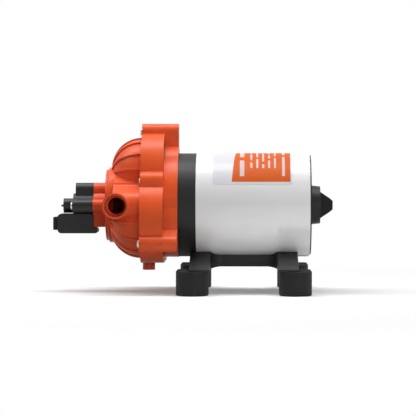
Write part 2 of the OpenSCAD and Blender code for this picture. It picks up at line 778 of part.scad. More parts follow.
module lead_grommet() {
  color("black") translate([0, 0, switch_z]) difference() {
    union() {
      along_y(case_w - 4) translate([case_x0 - grommet_len, grommet_low])
        rounded_2d(grommet_len, grommet_h, 0.8);
      along_y(case_w - 2 * case_wall - 2 - 2 * fit_gap)
        translate([case_x0 - 1, grommet_low + 1 + fit_gap])
          square([case_wall + 1, grommet_h - 2 - 2 * fit_gap]);
    }
    for (s = [-1, 1]) translate([case_x0 - grommet_len - 1, s * 3, grommet_low + grommet_h / 2])
      rotate([0, 90, 0]) cylinder(h = grommet_len + case_wall + 2, r = 1.2);
  }
}
module microswitch_body() {
  color("black") translate([0, 0, switch_z]) difference() {
    along_y(body_w) translate([body_x0, body_z1 - body_h]) square([body_len, body_h]);
    along_y(button_w + 0.2) translate([body_x1 - 2.6, button_z - button_h / 2 - 0.1])
      square([3, button_h + 0.2]);
  }
}
module microswitch_button() {
  color("firebrick") translate([0, 0, switch_z]) along_y(button_w)
    translate([button_x1 - 3.8, button_z - button_h / 2]) square([3.8, button_h]);
}
module switch_terminals() {
  color("gold") for (s = [-1:1])
    translate([case_x0 + case_wall + 0.4, s * 2.2 - 0.3, switch_z + body_z1 - body_h / 2 - 1.5])
      cube([body_x0 - case_x0 - case_wall - 0.4, 0.6, 3]);
}

module adapter_ring() {
  color("dimgray") on_axis() difference() {
    union() {
      ring(ring_x, can_x0, can_r, ring_bore_r);
      ring(can_x0 - 1, can_x0 + spigot_len, can_bore_r - fit_gap, can_bore_r - 3.6);
      disc(web_x, web_x + ring_web_t, can_r - 4);
      disc(web_x, can_x0, front_bearing_d / 2 + 3.4);
      at_waists() translate([waist_pitch - 2, 0, 0]) disc(ring_x, can_x0 - 0.5, 5);
      for (a = [0, 180]) rotate([0, 0, a]) translate([bolt_pitch, 0, 0]) disc(web_x, can_x0 + 1, 3.2);
    }
    disc(front_bearing_x, can_x0 + 1, front_bearing_d / 2);
    disc(web_x - 1, can_x0, shaft_r + 2);
    at_waists() screw_holes(waist_pitch, ring_x - 1, can_x0 - 1.5);
    for (a = [0, 180]) rotate([0, 0, a]) translate([bolt_pitch, 0, 0])
      disc(web_x + 1, can_x0 + spigot_len + 1, bolt_d / 2 + fit_gap);
    ring(ring_x - 1, can_x0 + 10, can_r + 10, can_r);
  }
}
module front_bearing() {
  color("silver") on_axis() ball_bearing(front_bearing_x, front_bearing_w, front_bearing_d, shaft_d);
}
module rear_bearing() {
  color("silver") on_axis() ball_bearing(rear_bearing_x, rear_bearing_w, rear_bearing_d, shaft_d);
}
module motor_can() {
  color("white") difference() {
    on_axis() ring(can_x0, can_x1, can_r, can_bore_r);
    for (s = [-1, 1]) translate([s * base_screw_x, 0, 0])
      cylinder(h = axis_h, r = base_screw_d / 2 + fit_gap);
  }
}
module magnets() {
  color("dimgray") on_axis(core_mid - magnet_len / 2) for (a = [90, 270]) rotate([0, 0, a - magnet_angle / 2])
    rotate_extrude(angle = magnet_angle) translate([magnet_ri, 0]) square([magnet_t, magnet_len]);
}
module at_slots() { for (i = [0:slot_count - 1]) rotate([0, 0, i * 360 / slot_count]) children(); }
module armature_core() {
  color("slategray") on_axis(core_x0) linear_extrude(core_len) difference() {
    circle(core_r);
    circle(shaft_r + fit_gap);
    at_slots() {
      translate([slot_pitch, 0]) circle(slot_d / 2);
      translate([slot_pitch, -0.9]) square([slot_d, 1.8]);
    }
  }
}
module armature_windings() {
  color("peru") on_axis() {
    ring(core_x0 - end_turn_len, core_x0 - fit_gap, slot_pitch + slot_d / 2, shaft_r + 4);
    ring(core_x1 + fit_gap, core_x1 + end_turn_len, slot_pitch + slot_d / 2, shaft_r + 4);
    at_slots() translate([slot_pitch, 0, 0])
      disc(core_x0 - 1, core_x1 + 1, slot_d / 2 - fit_gap);
  }
}
module commutator() {
  color("peru") on_axis(commutator_x) difference() {
    cylinder(h = commutator_len, r = commutator_d / 2);
    translate([0, 0, -1]) cylinder(h = commutator_len + 2, r = shaft_r + fit_gap);
    for (i = [0:slot_count - 1]) rotate([0, 0, i * 360 / slot_count])
      translate([commutator_d / 2 - 1, -0.3, 1.2]) cube([2, 0.6, commutator_len]);
  }
}
module motor_shaft() {
  color("silver") on_axis() {
    disc(shaft_x0 + 0.6, shaft_x1 - 0.6, shaft_r);
    translate([0, 0, shaft_x0]) cylinder(h = 0.6, r1 = shaft_r - 0.6, r2 = shaft_r);
    translate([0, 0, shaft_x1 - 0.6]) cylinder(h = 0.6, r1 = shaft_r, r2 = shaft_r - 0.6);
  }
}
brush_far = brush_tip + brush_len;
spring_far = brush_far + 5;
module brush_tunnel(x, wall, r0, r1) {
  for (s = [0, 180]) rotate([0, 0, s + 90])
    translate([r0, -brush_side / 2 - wall, x - wall])
      cube([r1 - r0, brush_side + 2 * wall, brush_w + 2 * wall]);
}
module brush_plate() {
  color("saddlebrown") on_axis() difference() {
    union() {
      ring(plate_x, plate_x + plate_t, can_bore_r - fit_gap, commutator_d / 2 + 1.5);
      brush_tunnel(brush_x, 1.2, brush_tip + 1.4, spring_far + 1.2);
    }
    brush_tunnel(brush_x, fit_gap, brush_tip, spring_far);
    for (a = [0, 180]) rotate([0, 0, a]) translate([bolt_pitch, 0, 0])
      disc(plate_x - 1, plate_x + plate_t + 1, bolt_d / 2 + loose_gap);
  }
}
module brushes() {
  color("black") on_axis() brush_tunnel(brush_x, 0, brush_tip, brush_far);
}
module brush_springs() {
  color("silver") translate([brush_x + brush_w / 2, 0, axis_h]) for (s = [0, 180]) rotate([s, 0, 0])
    difference() {
      translate([0, 0, brush_far]) cylinder(h = spring_far - brush_far, r = brush_spring_r);
      translate([0, 0, brush_far - 1])
        cylinder(h = spring_far - brush_far + 2, r = brush_spring_r - brush_spring_wire);
    }
}
module end_cap() {
  color("dimgray") on_axis() difference() {
    union() {
      disc(cap_x0, can_x1 + eps, can_bore_r - fit_gap);
      disc(can_x1, hub_x0, can_bore_r + 0.4);
      translate([0, 0, hub_x0]) cylinder(h = hub_len, r1 = hub_d / 2, r2 = hub_end_d / 2);
    }
    disc(cap_x0 - 1, rear_bearing_x + rear_bearing_w, rear_bearing_d / 2);
    disc(cap_x0, hub_x1 - 1.6, shaft_r + 1.5);
    for (a = [0, 180]) rotate([0, 0, a]) translate([bolt_pitch, 0, 0]) {
      disc(cap_x0 - 1, can_x1 + 2, bolt_d / 2 + fit_gap);
      disc(can_x1 - bolt_sink, can_x1 + 3, bolt_head_r + loose_gap);
    }
  }
}
module cable_boot() {
  tip_r2 = 2;
  color("black") on_axis() intersection() {
    translate([0, 0, hub_x1]) difference() {
      rotate([0, -90, 0]) linear_extrude(boot_w, center = true)
        polygon([[0, -boot_h / 2], [boot_len - tip_r2, -boot_tip_h / 2 - 0.6],
          [boot_len, -boot_tip_h / 2 + 1.2], [boot_len, boot_tip_h / 2 - 1.2],
          [boot_len - tip_r2, boot_tip_h / 2 + 0.6], [0, boot_h / 2]]);
      for (s = [-1, 1]) translate([0, s * 2.1, boot_len - 5]) cylinder(h = 6, r = 1.2);
    }
    disc(hub_x1, hub_x1 + boot_len, hub_end_d / 2 - 1);
  }
}
module through_bolts() {
  color("silver") on_axis() for (a = [0, 180]) rotate([0, 0, a]) translate([bolt_pitch, 0, 0]) {
    disc(web_x + ring_web_t, can_x1 - 0.6, bolt_d / 2);
    disc(can_x1 - bolt_sink + fit_gap, can_x1 - bolt_sink + bolt_head_h, bolt_head_r);
  }
}

// Saddle seen from the end: a cradle with two arms that slope down to the feet
module saddle_end_2d() {
  polygon([[-arm_reach, foot_h], [-arm_reach, foot_h + arm_end_t], [-foot_y + 2, foot_h + arm_end_t + 2.6],
    [-cradle_half, axis_h - cradle_drop], [cradle_half, axis_h - cradle_drop],
    [foot_y - 2, foot_h + arm_end_t + 2.6], [arm_reach, foot_h + arm_end_t], [arm_reach, foot_h]]);
}
// Saddle seen from above: two arms and a spine, with round inner corners
module saddle_plan_2d() {
  inner = arm_x - arm_w / 2;
  difference() {
    translate([-arm_x - arm_w / 2, -arm_reach]) square([2 * arm_x + arm_w, 2 * arm_reach]);
    for (s = [-1, 1]) rotate(s * 90) translate([spine_half, -inner])
      rounded_2d(2 * arm_reach, 2 * inner, spine_fillet);
  }
}
module base_saddle() {
  color("dimgray") {
    difference() {
      intersection() {
        translate([0, 0, foot_h]) linear_extrude(axis_h) saddle_plan_2d();
        translate([-arm_x - arm_w, 0, 0]) rotate([90, 0, 90])
          linear_extrude(2 * (arm_x + arm_w)) saddle_end_2d();
      }
      on_axis() disc(-100, 100, can_r + fit_gap);
      translate([0, 0, foot_h + spine_lift - 2 * arch_r]) along_y(2 * arm_reach)
        translate([-arch_half, 0]) rounded_2d(2 * arch_half, 2 * arch_r, arch_r - 0.1);
      for (s = [-1, 1]) translate([s * base_screw_x, 0, foot_h]) {
        translate([0, 0, -1]) cylinder(h = axis_h, r = base_screw_d / 2 + fit_gap);
        translate([0, 0, -1]) cylinder(h = 1 + base_head_h + fit_gap, r = base_recess_r);
      }
    }
    for (sx = [-1, 1], sy = [-1, 1]) translate([sx * peg_x, sy * foot_y, foot_h - peg_len])
      cylinder(h = peg_len + 0.5, r = peg_d / 2);
  }
}
module base_screws() {
  color("silver") for (s = [-1, 1]) translate([s * base_screw_x, 0, foot_h]) {
    cylinder(h = base_head_h, r = base_head_r);
    cylinder(h = saddle_t + can_wall - 0.2, r = base_screw_d / 2);
  }
}
module foot(sx, sy) {
  color("dimgray") translate([sx * foot_x, sy * foot_y, 0]) difference() {
    union() {
      cylinder(h = 1, r1 = foot_d / 2 - 0.8, r2 = foot_d / 2);
      translate([0, 0, 1]) cylinder(h = foot_h - 1, r = foot_d / 2);
      translate([sx * (foot_hole_x - foot_x), 0, foot_h - eps])
        cylinder(h = foot_collar_h, r1 = foot_collar_r, r2 = foot_collar_r - 1.2);
    }
    translate([sx * (foot_hole_x - foot_x), 0, -1])
      cylinder(h = foot_h + foot_collar_h + 2, r = foot_hole_d / 2);
    translate([sx * (peg_x - foot_x), 0, foot_h - peg_len - 1])
      cylinder(h = peg_len + 2, r = peg_d / 2 + fit_gap);
  }
}
module foot_front_left() { foot(-1, -1); }
module foot_front_right() { foot(1, -1); }
module foot_rear_left() { foot(-1, 1); }
module foot_rear_right() { foot(1, 1); }

upper_housing();
lower_housing();
valve_plate();
inlet_valves();
outlet_valve();
outlet_seal();
diaphragm();
pistons();
piston_screws();
wobble_plate();
wobble_bearing();
eccentric_hub();
hub_set_screw();
tip_screws();
waist_screws();
switch_diaphragm();
switch_plunger();
switch_spring();
spring_seat();
adjuster_screw();
switch_cover();
switch_screws();
microswitch_case();
microswitch_body();
microswitch_button();
switch_terminals();
lead_grommet();
adapter_ring();
front_bearing();
motor_can();
magnets();
armature_core();
armature_windings();
commutator();
motor_shaft();
rear_bearing();
brush_plate();
brushes();
brush_springs();
end_cap();
cable_boot();
through_bolts();
base_saddle();
base_screws();
foot_front_left();
foot_front_right();
foot_rear_left();
foot_rear_right();
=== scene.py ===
import json
import math
from collections import namedtuple

import bmesh
import bpy
from bpy.props import FloatProperty, FloatVectorProperty, IntProperty, PointerProperty
from mathutils import Matrix, Vector


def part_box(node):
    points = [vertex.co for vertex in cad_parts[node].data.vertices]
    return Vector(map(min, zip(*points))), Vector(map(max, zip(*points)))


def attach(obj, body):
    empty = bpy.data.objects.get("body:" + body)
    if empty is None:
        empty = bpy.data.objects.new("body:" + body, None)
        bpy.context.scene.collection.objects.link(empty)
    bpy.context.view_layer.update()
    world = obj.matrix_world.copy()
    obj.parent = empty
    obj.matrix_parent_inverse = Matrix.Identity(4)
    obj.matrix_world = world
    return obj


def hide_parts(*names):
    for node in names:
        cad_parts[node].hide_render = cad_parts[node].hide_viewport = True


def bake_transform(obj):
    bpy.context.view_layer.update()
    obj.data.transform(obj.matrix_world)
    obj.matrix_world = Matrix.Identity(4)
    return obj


bl_info = {
    "name": "Diaphragm pump finishes",
    "version": (1, 0, 0),
    "blender": (4, 5, 0),
    "location": "3D View > Sidebar > Pump",
    "description": "Finishes, small fasteners, label and studio for a caravan water pump",
    "category": "Object",
}

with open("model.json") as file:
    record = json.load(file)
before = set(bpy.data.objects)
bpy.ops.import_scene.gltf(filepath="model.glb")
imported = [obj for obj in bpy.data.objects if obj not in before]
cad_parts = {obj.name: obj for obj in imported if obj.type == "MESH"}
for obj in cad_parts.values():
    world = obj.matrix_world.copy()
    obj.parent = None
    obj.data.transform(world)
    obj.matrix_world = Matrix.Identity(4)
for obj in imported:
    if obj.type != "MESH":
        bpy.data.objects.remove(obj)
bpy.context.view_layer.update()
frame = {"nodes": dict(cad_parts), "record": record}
SLOT_OF = {part["node"]: part["material_slot"] for part in frame["record"]["subparts"]}


def middle(node, axis):
    """Middle of a CAD node's box along one axis, in metres."""
    low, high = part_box(node)
    return (low[axis] + high[axis]) / 2


def half(node, axis):
    """Half the length of a CAD node's box along one axis, in metres."""
    low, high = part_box(node)
    return (high[axis] - low[axis]) / 2


MOTOR_AXIS = middle("motor_can", 2)
CAN_RADIUS = half("motor_can", 1)
COPPER_START = half("commutator", 1) + 0.0004  # how far from the axis the windings begin

# Pan-head screws and bolts: radius and height of the head, and radius of the shank
Screw = namedtuple("Screw", "head height shank")
HOUSING_SCREW = Screw(head=0.003, height=0.0016, shank=0.0019)
SWITCH_SCREW = Screw(head=0.003, height=0.0014, shank=0.0013)
THROUGH_BOLT = Screw(head=0.0028, height=0.0017, shank=0.0016)
BASE_SCREW = Screw(head=0.0031, height=0.0023, shank=0.0017)
TOP_SCREW_BACK = 0.0038  # the switch's top screw sits this far behind its side screws

# Outline of a pan head from the middle of its front, as shares of its height and its radius
PAN_HEAD = ((0.0, 0.0), (0.01, 0.45), (0.06, 0.66), (0.16, 0.80), (0.32, 0.91), (0.52, 0.98),
            (0.72, 1.0), (0.96, 1.0), (1.0, 0.975))
THREADED = 0.45  # share of a shank that has a thread
# Sizes of the thread and of the shank's end, as shares of the shank's radius
THREAD_PITCH, THREAD_ROOT = 0.55, 0.8
POINT_LENGTH, POINT_RADIUS = 0.6, 0.5

# Cross recess: share of its width that an arm is wide, and how far its cutter starts outside
RECESS_ARM = 0.24
RECESS_START = 0.0004

CLOSED_TURN = 1.05  # pitch of a spring's end turns, in thicknesses of its wire
SWITCH_SPRING_TURNS, BRUSH_SPRING_TURNS = 6, 5
COIL_STEPS = 28  # faces along one turn of a coil
WIRE_STEPS = 10  # faces round the wire of a coil
SCREW_CREASE = math.radians(32)  # sharper edges stay sharp on screws
ROUND_CREASE = math.radians(50)  # and on springs and the label

# The label's printed block, as shares of the label along the can and round it
BLOCK_START, BLOCK_SLANT, BLOCK_END = 0.235, 0.13, 0.982
BLOCK_LOW, BLOCK_HIGH = 0.018, 0.982
# Plain dashes on the block: middle along the label, width, and the dashes' ends, as shares
LABEL_DASHES = (
    (0.370, 0.062, (0.07, 0.25, 0.30, 0.58, 0.64, 0.93)),
    (0.488, 0.030, (0.15, 0.22, 0.25, 0.37, 0.40, 0.61, 0.64, 0.85)),
    (0.563, 0.030, (0.15, 0.27, 0.30, 0.44, 0.47, 0.58, 0.61, 0.85)),
    (0.637, 0.030, (0.15, 0.20, 0.23, 0.41, 0.44, 0.66, 0.69, 0.78)),
    (0.712, 0.030, (0.15, 0.25, 0.28, 0.35, 0.38, 0.59, 0.62, 0.81)),
    (0.786, 0.030, (0.15, 0.29, 0.32, 0.43, 0.46, 0.57, 0.60, 0.74)),
    (0.893, 0.040, (0.07, 0.31, 0.35, 0.60, 0.64, 0.93)))
PRINT_SOFT, PRINT_SOFTER = 0.004, 0.006  # how softly printed edges end, as a share
DASH_STRENGTH = 0.75
LABEL_GAP = 0.00003  # between the can and the film
LABEL_ROWS = 48  # grid rows round the can, corners apart
LABEL_COLUMNS = (0.25, 0.5, 0.75)  # grid lines along the can, corners apart
CORNER_STEPS = 6

BEVEL_SAMPLES = 6
EDGE_GAIN = 6  # how sharply the mask of worn edges rises
EDGE_PALE_LEAST, EDGE_PALER = 0.4, 0.10  # least wear and painted highlight of an edge, and how much paler it gets
WIRE_WAVER = 3.0  # how far the winding wires stray, in radians of a turn
WHITE = (1, 1, 1, 1)
SENSOR_WIDTH = 36
FRONT_AIM = (0.0, 0.0, 0.06)
# The sweep of floor: its ends, its half width, and the bend that leads up to its top
SWEEP_FRONT, SWEEP_BACK, SWEEP_SIDE, SWEEP_BEND, SWEEP_TOP = -3.0, 2.2, 3.5, 1.2, 3.4
BEND_STEP = 6  # degrees
# How bright a gloss sees the room: behind the pump, above it and level with it
ROOM_BEHIND, ROOM_ABOVE, ROOM_LEVEL = 2, 1.2, 0.3

FINISHES = {}


class PumpColours(bpy.types.PropertyGroup):
    """Colours of the finishes, as light reflected."""

    housing: FloatVectorProperty(
        name="Housing", description="Orange of the moulded head", subtype="COLOR",
        default=(0.82, 0.10, 0.018), min=0, max=1)
    black_plastic: FloatVectorProperty(
        name="Black plastic", description="Saddle, ring, cap and switch", subtype="COLOR",
        default=(0.0125, 0.0125, 0.013), min=0, max=1)
    rubber: FloatVectorProperty(
        name="Rubber", description="Feet, cable boot and grommet", subtype="COLOR",
        default=(0.0115, 0.0115, 0.012), min=0, max=1)
    paint: FloatVectorProperty(
        name="Paint", description="White enamel of the motor can", subtype="COLOR",
        default=(0.86, 0.86, 0.865), min=0, max=1)
    steel: FloatVectorProperty(
        name="Steel", description="Zinc-plated screws and bolts", subtype="COLOR",
        default=(0.66, 0.65, 0.62), min=0, max=1)
    label_film: FloatVectorProperty(
        name="Label film", description="Pale film of the can's label", subtype="COLOR",
        default=(0.70, 0.70, 0.74), min=0, max=1)
    label_block: FloatVectorProperty(
        name="Label block", description="Printed block on the label", subtype="COLOR",
        default=(0.66, 0.11, 0.01), min=0, max=1)


class PumpSizes(bpy.types.PropertyGroup):
    """Sizes of what is added round the CAD pieces."""

    edge_round: FloatProperty(
        name="Edge rounding", description="Radius that a moulded edge looks rounded to",
        unit="LENGTH", default=0.0006, min=0, max=0.002)
    label_low: FloatProperty(
        name="Label start", description="Angle above the side where the label starts",
        subtype="ANGLE", default=math.radians(24), min=0, max=math.radians(80))
    label_high: FloatProperty(
        name="Label end", description="Angle above the side where the label ends, over the top",
        subtype="ANGLE", default=math.radians(166), min=math.radians(100), max=math.radians(200))
    label_front: FloatProperty(
        name="Label front", description="Edge of the label nearest to the head",
        unit="LENGTH", default=-0.0232, min=-0.035, max=0)
    label_back: FloatProperty(
        name="Label back", description="Edge of the label nearest to the cable boot",
        unit="LENGTH", default=0.0357, min=0, max=0.048)
    label_thickness: FloatProperty(
        name="Label thickness", description="How far the label stands out of the can",
        unit="LENGTH", default=0.00012, min=0.00005, max=0.0005)
    label_corner: FloatProperty(
        name="Label corner", description="Radius of the label's corners",
        unit="LENGTH", default=0.0025, min=0.0005, max=0.006)
    recess_width: FloatProperty(
        name="Recess width", description="Width of a screw head's cross, as a share of the head",
        default=0.62, min=0.3, max=0.8)
    recess_depth: FloatProperty(
        name="Recess depth", description="Depth of a cross, as a share of the head's height",
        default=0.72, min=0.2, max=0.95)
    round_steps: IntProperty(
        name="Round steps", description="Faces round a screw head", default=40, min=12, max=96)
    spring_wire: FloatProperty(
        name="Spring wire", description="Thickness of the wire of the coil springs",
        unit="LENGTH", default=0.0006, min=0.0003, max=0.0008)
    wire_turn: FloatProperty(
        name="Winding wire", description="Distance from turn to turn in the copper windings",
        unit="LENGTH", default=0.0009, min=0.0004, max=0.002)


class PumpStudio(bpy.types.PropertyGroup):
    """Camera, lamps and floor."""

    lens: FloatProperty(
        name="Lens", description="Focal length", unit="CAMERA", default=177.4, min=20, max=400)
    camera_place: FloatVectorProperty(
        name="Camera place", description="Where the camera stands", subtype="TRANSLATION",
        unit="LENGTH", default=(0.0045, -1.552, 0.0994))
    camera_aim: FloatVectorProperty(
        name="Camera aim", description="Point in the middle of the picture",
        subtype="TRANSLATION", unit="LENGTH", default=(-0.0273, 0.0, 0.0631))
    overhead_power: FloatProperty(
        name="Overhead", description="Power of the softbox above", unit="POWER",
        default=10.7, min=0, max=60)
    overhead_place: FloatVectorProperty(
        name="Overhead place", description="Where the softbox above hangs", subtype="TRANSLATION",
        unit="LENGTH", default=(-0.3, 0.015, 0.85))
    overhead_size: FloatVectorProperty(
        name="Overhead size", description="Length and width of the softbox above", size=2,
        unit="LENGTH", default=(1.6, 0.33), min=0.01, max=4)
    front_power: FloatProperty(
        name="Front", description="Power of the broad lamp beside the camera", unit="POWER",
        default=12.5, min=0, max=60)
    front_place: FloatVectorProperty(
        name="Front place", description="Where the broad lamp stands", subtype="TRANSLATION",
        unit="LENGTH", default=(1.0, -1.9, 0.25))
    front_size: FloatVectorProperty(
        name="Front size", description="Width and height of the broad lamp", size=2,
        unit="LENGTH", default=(1.8, 1.2), min=0.01, max=4)
    ambient: FloatProperty(
        name="Ambient", description="Strength of the light from all round", default=0.2,
        min=0, max=1)
    room: FloatProperty(
        name="Room", description="How bright the camera's side of the room looks in a gloss",
        default=0.3, min=0, max=1)
    card: FloatProperty(
        name="Card", description="Share of light that the white card under the motor sends back",
        default=0.98, min=0, max=1)
    flag: FloatProperty(
        name="Flag", description="Share that the grey card at the head's end sends back",
        default=0.2, min=0, max=1)
    flag_end: FloatProperty(
        name="Flag end", description="Where the grey card starts to give way to the white one",
        unit="LENGTH", default=-0.09, min=-1, max=1)
    card_start: FloatProperty(
        name="Card start", description="Where the white card is whole",
        unit="LENGTH", default=-0.02, min=-1, max=1)
    floor_seen: FloatProperty(
        name="Floor seen", description="How pale the floor looks to the camera", default=0.98,
        min=0, max=1)
    shadow_lift: FloatProperty(
        name="Shadow lift", description="Share by which the shadow is made paler", default=0.19,
        min=0, max=1)
    shadow_near: FloatProperty(
        name="Shadow reach", description="Distance from the pump where the floor starts to whiten",
        unit="LENGTH", default=0.2, min=0.1, max=1)
    shadow_far: FloatProperty(
        name="Shadow end", description="Distance from the pump at which the floor is white",
        unit="LENGTH", default=0.38, min=0.2, max=2)


class Wire:
    """Wraps an output socket of a node tree, so that shader maths is written in Python."""

    def __init__(self, tree, socket=None):
        self.tree = tree
        self.socket = socket

    def node(self, kind, settings=None, inputs=None, output=0):
        """Adds a node, sets its settings, then its inputs, and wraps one of its outputs."""
        made = self.tree.nodes.new(kind)
        for name, value in (settings or {}).items():
            setattr(made, name, value)
        for name, value in (inputs or {}).items():
            if isinstance(value, Wire):
                self.tree.links.new(value.socket, made.inputs[name])
            else:
                made.inputs[name].default_value = value
        return Wire(self.tree, made.outputs[output] if len(made.outputs) else None)

    def twin(self, output):
        """Another output of the node that this one comes from."""
        return Wire(self.tree, self.socket.node.outputs[output])

    def _maths(self, operation, first, second):
        return self.node("ShaderNodeMath", {"operation": operation}, {0: first, 1: second})

    def __add__(self, other):
        return self._maths("ADD", self, other)

    __radd__ = __add__

    def __sub__(self, other):
        return self._maths("SUBTRACT", self, other)

    def __rsub__(self, other):
        return self._maths("SUBTRACT", other, self)

    def __mul__(self, other):
        return self._maths("MULTIPLY", self, other)

    __rmul__ = __mul__

    def __truediv__(self, other):
        return self._maths("DIVIDE", self, other)

    def __rtruediv__(self, other):
        return self._maths("DIVIDE", other, self)

    def __pow__(self, other):
        return self._maths("POWER", self, other)

    def __rpow__(self, other):
        return self._maths("POWER", other, self)

    def sine(self):
        """Sine of the value, in radians."""
        return self._maths("SINE", self, 0.0)

    def clamped(self):
        """The value kept between 0 and 1."""
        return self.node("ShaderNodeClamp", inputs={0: self})

    def mix(self, low, high):
        """A colour between low and high, by this value."""
        return self.node("ShaderNodeMix", {"data_type": "RGBA"}, {0: self, 6: low, 7: high}, 2)


def rise(value, soft):
    """0 where value is below 0, and 1 once it is past soft."""
    return (value / soft).clamped()


def band(value, low, high, soft):
    """1 where value lies between low and high, falling to 0 over soft."""
    return rise(value - low, soft) * rise(high - value, soft)


def peaks(noises, above, gain):
    """1 on the peaks of a noise and 0 where it is below a level."""
    return ((noises - above) * gain).clamped()


def uneven(value, *noises):
    """A value between 0 and 1 that wanders by the amount given with each noise."""
    for wander, amount in noises:
        value = value + (wander - 0.5) * amount
    return value.clamped()


def colour(values, strength=1.0):
    """Red, green, blue and alpha from a colour property, made paler or darker."""
    return tuple(min(1.0, v * strength) for v in values) + (1.0,)


def shades(by, values, darkest, palest):
    """A colour that goes from a darker to a paler shade of itself."""
    return by.mix(colour(values, darkest), colour(values, palest))


def object_place(wire):
    """Where a point lies on its object, in metres."""
    return wire.node("ShaderNodeTexCoord", output="Object")


def noise(wire, place, scale, detail=2.0, stretch=None):
    """Noise with about scale features to a metre, stretched along an axis if asked."""
    if stretch:
        place = wire.node("ShaderNodeVectorMath", {"operation": "MULTIPLY"},
                          {0: place, 1: stretch})
    return wire.node("ShaderNodeTexNoise",
                     inputs={"Vector": place, "Scale": scale, "Detail": detail})


def rounded_normal(wire, radius):
    """Surface direction that makes edges look rounded to a radius."""
    return wire.node("ShaderNodeBevel", {"samples": BEVEL_SAMPLES}, {"Radius": radius})


def edge_mask(wire, rounded):
    """1 on outer and inner edges, 0 on flat faces."""
    flat = wire.node("ShaderNodeNewGeometry", output="Normal")
    alike = wire.node("ShaderNodeVectorMath", {"operation": "DOT_PRODUCT"},
                      {0: rounded, 1: flat}, "Value")
    return ((1 - alike) * EDGE_GAIN).clamped()


def empty_tree(owner):
    """Clears the nodes of a material or a world, ready for new ones."""
    owner.use_nodes = True
    owner.node_tree.nodes.clear()
    return Wire(owner.node_tree)


def start_material(name):
    """A new material and the wire that its nodes are made with."""
    material = bpy.data.materials.new(name)
    return material, empty_tree(material)


def end_material(wire, inputs):
    """Puts a shader with these inputs on the surface."""
    shader = wire.node("ShaderNodeBsdfPrincipled", inputs=inputs)
    wire.node("ShaderNodeOutputMaterial", inputs={"Surface": shader})


def moulded(name, tint, rough, grain, wear_and_highlight, gloss=0.5):
    """Moulded plastic or rubber: cloudy colour, fine grain, edges rounded, a little worn and paler
    with a painted highlight.
    """
    material, wire = start_material(name)
    place = object_place(wire)
    rounded = rounded_normal(wire, bpy.context.scene.pump_sizes.edge_round)
    cloud = noise(wire, place, scale=45.0, detail=3.0)
    flecks = noise(wire, place, scale=900.0)
    fine = noise(wire, place, scale=grain)
    specks = peaks(flecks, above=0.62, gain=1.5)
    body = specks.mix(shades(cloud, tint, 0.9, 1.1), colour(tint, 1.35))
    # Paler edges: some wear, and a painted highlight where an edge would catch the light
    paling = (edge_mask(wire, rounded) * wear_and_highlight * (EDGE_PALE_LEAST + cloud)).clamped()
    bump = wire.node("ShaderNodeBump", inputs={
        "Strength": 0.35, "Distance": 0.00003, "Height": fine, "Normal": rounded})
    end_material(wire, {
        "Base Color": paling.mix(body, colour([v + EDGE_PALER for v in tint])),
        "Roughness": uneven(rough, (cloud, 0.12), (fine, 0.08)),
        "Specular IOR Level": gloss,
        "Normal": bump})
    return material


def painted(name, tint):
    """Gloss enamel over a drawn can: clear gloss with a slight orange peel."""
    material, wire = start_material(name)
    place = object_place(wire)
    rounded = rounded_normal(wire, radius=0.0004)
    cloud = noise(wire, place, scale=18.0, detail=3.0)
    peel = noise(wire, place, scale=420.0, detail=1.0)
    dust = peaks(noise(wire, place, scale=2600.0, detail=1.0), above=0.74, gain=5)
    bump = wire.node("ShaderNodeBump", inputs={
        "Strength": 0.06, "Distance": 0.00002, "Height": peel, "Normal": rounded})
    end_material(wire, {
        "Base Color": dust.mix(shades(cloud, tint, 0.985, 1.01), colour(tint, 0.9)),
        "Roughness": uneven(0.3, (cloud, 0.08)),
        "Coat Weight": uneven(0.9, (peel, 0.1)),
        "Coat Roughness": 0.03,
        "Coat IOR": 1.62,
        "Normal": bump})
    return material


def metal(name, tint, rough, stretch=(1.0, 1.0, 1.0)):
    """Plated, machined or cast metal with fine marks along one direction."""
    material, wire = start_material(name)
    place = object_place(wire)
    rounded = rounded_normal(wire, radius=0.00025)
    cloud = noise(wire, place, scale=160.0, detail=3.0)
    marks = noise(wire, place, scale=1500.0, stretch=stretch)
    bump = wire.node("ShaderNodeBump", inputs={
        "Strength": 0.25, "Distance": 0.00001, "Height": marks, "Normal": rounded})
    end_material(wire, {
        "Base Color": shades(cloud, tint, 0.88, 1.08),
        "Metallic": 1.0,
        "Roughness": uneven(rough, (marks, 0.2), (cloud, 0.1)),
        "Normal": bump})
    return material


def wound(name, tint, inner):
    """Enamelled copper wire, laid turn by turn outside a radius, and plain inside it."""
    material, wire = start_material(name)
    place = object_place(wire)
    along = wire.node("ShaderNodeSeparateXYZ", inputs={0: place}, output="X")
    across, up = along.twin("Y"), along.twin("Z") - MOTOR_AXIS
    reach = (across * across + up * up) ** 0.5
    cloud = noise(wire, place, scale=220.0)
    waver = noise(wire, place, scale=90.0, detail=1.0) * WIRE_WAVER
    phase = (along + reach) * (2 * math.pi / bpy.context.scene.pump_sizes.wire_turn) + waver
    laid = rise(reach - inner, soft=0.0004)
    # 1 on top of each wire and where none is laid, 0 between two wires
    turns = 1 - laid * (0.5 - phase.sine() * 0.5)
    bump = wire.node("ShaderNodeBump", inputs={
        "Strength": 0.8, "Distance": 0.0002, "Height": turns})
    end_material(wire, {
        # Darker between the wires: painted shade in the grooves, not a different colour of wire
        "Base Color": shades(turns, tint, 0.35, 1.1),
        "Metallic": 0.6,
        "Roughness": (0.25 + cloud * 0.2).clamped(),
        "Coat Weight": 0.5,
        "Normal": bump})
    return material


